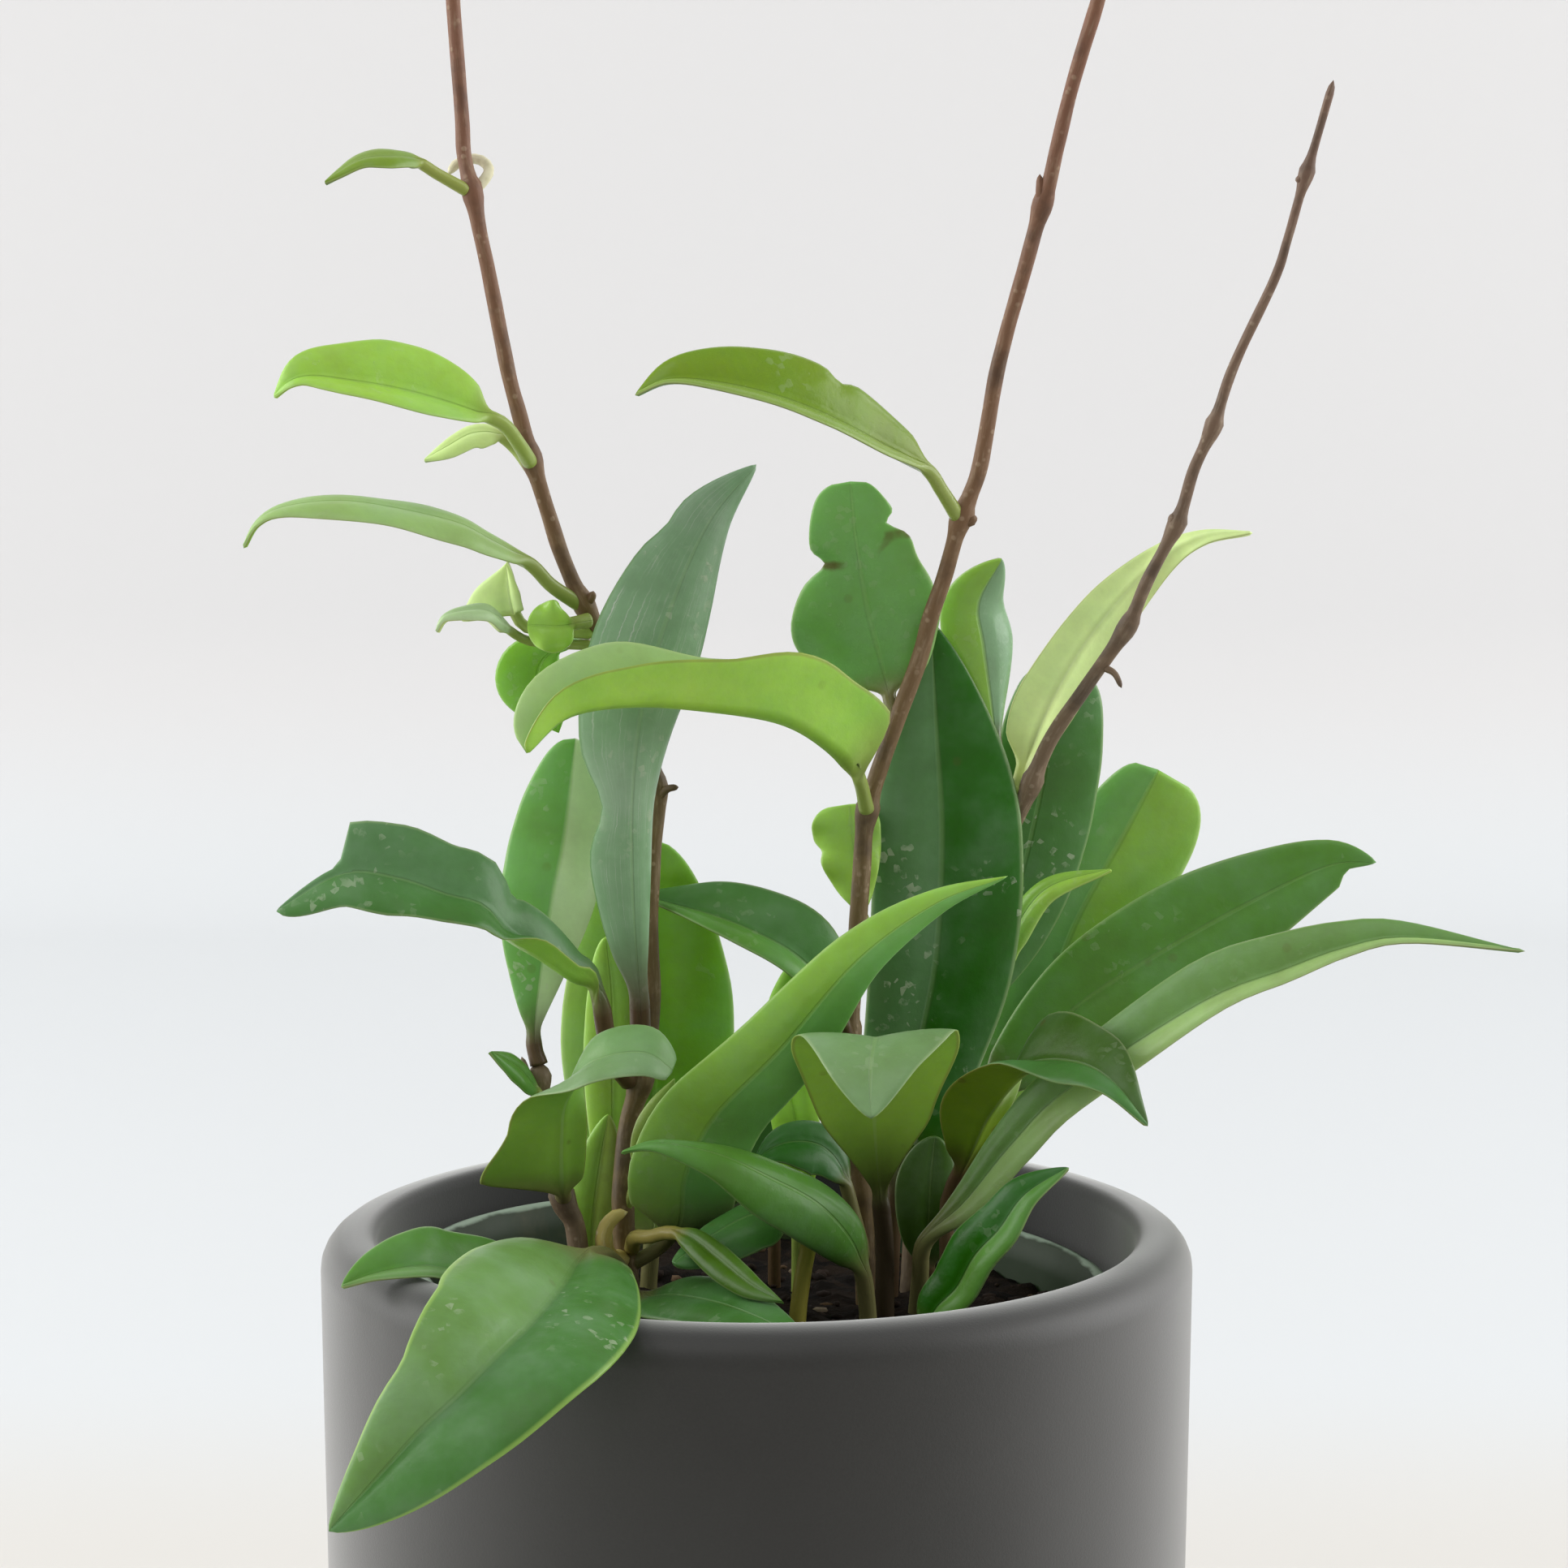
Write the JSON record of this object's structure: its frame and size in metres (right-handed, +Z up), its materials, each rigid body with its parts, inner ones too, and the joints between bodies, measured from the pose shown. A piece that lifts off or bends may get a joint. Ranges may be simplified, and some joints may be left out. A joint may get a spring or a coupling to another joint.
{
  "type": "potted hoya plant",
  "caption": "Hoya with waxy leaves on bare vines, rooted in soil in a thin nursery pot that stands in a straight-sided grey ceramic pot.",
  "frame": {"origin": "centre of the ceramic pot's underside, on the surface it stands on", "axes": "+Z up, +X to the right seen from the front, the front faces -Y"},
  "size_m": [0.2137, 0.1768, 0.3884],
  "materials": {
    "ceramic": "satin dark grey glaze with a fine speckle",
    "nursery_plastic": "thin grey-green plastic",
    "soil": "very dark brown potting mix",
    "stem_brown": "smooth brown-mauve bark",
    "stem_grey": "mottled grey-brown bark",
    "leaf_dark": "dark green waxy leaf",
    "leaf_deep": "deep blue-green waxy leaf",
    "leaf_middle": "mid-green waxy leaf",
    "leaf_fresh": "fresh green young leaf",
    "leaf_lime": "yellow-green young leaf",
    "leaf_pale": "pale translucent young leaf"
  },
  "bodies": {
    "root": {"vine_left": "stem_brown", "vine_middle": "stem_brown", "vine_right": "stem_grey", "stem_short": "stem_grey", "leaf_left_1": "leaf_middle", "leaf_left_2": "leaf_lime", "leaf_left_3": "leaf_pale", "leaf_left_4": "leaf_fresh", "leaf_left_5": "leaf_pale", "leaf_left_6": "leaf_fresh", "leaf_left_7": "leaf_middle", "leaf_left_8": "leaf_fresh", "leaf_left_9": "leaf_deep", "leaf_left_10": "leaf_dark", "leaf_left_11": "leaf_middle", "leaf_left_12": "leaf_middle", "leaf_left_13": "leaf_middle", "leaf_left_14": "leaf_middle", "leaf_left_15": "leaf_fresh", "leaf_left_16": "leaf_lime", "leaf_mid_1": "leaf_fresh", "leaf_mid_2": "leaf_middle", "leaf_mid_3": "leaf_fresh", "leaf_mid_4": "leaf_fresh", "leaf_mid_5": "leaf_dark", "leaf_right_1": "leaf_pale", "leaf_right_2": "leaf_dark", "leaf_right_3": "leaf_dark", "leaf_right_4": "leaf_middle", "leaf_right_5": "leaf_dark", "leaf_right_6": "leaf_lime", "leaf_right_7": "leaf_pale", "leaf_crown_1": "leaf_deep", "leaf_crown_2": "leaf_dark", "leaf_crown_3": "leaf_dark", "leaf_crown_4": "leaf_middle", "leaf_crown_5": "leaf_middle", "leaf_crown_6": "leaf_middle", "leaf_crown_7": "leaf_deep", "leaf_crown_8": "leaf_middle", "leaf_crown_9": "leaf_lime", "leaf_crown_10": "leaf_dark", "leaf_crown_11": "leaf_dark", "leaf_crown_12": "leaf_middle", "leaf_crown_13": "leaf_middle", "leaf_short_1": "leaf_dark", "leaf_short_2": "leaf_middle", "leaf_short_3": "leaf_fresh", "leaf_short_4": "leaf_dark", "shoot_left_1": "leaf_lime", "shoot_left_2": "leaf_lime", "cachepot": "ceramic", "nursery_pot": "nursery_plastic", "soil": "soil"}
  },
  "joints": []
}
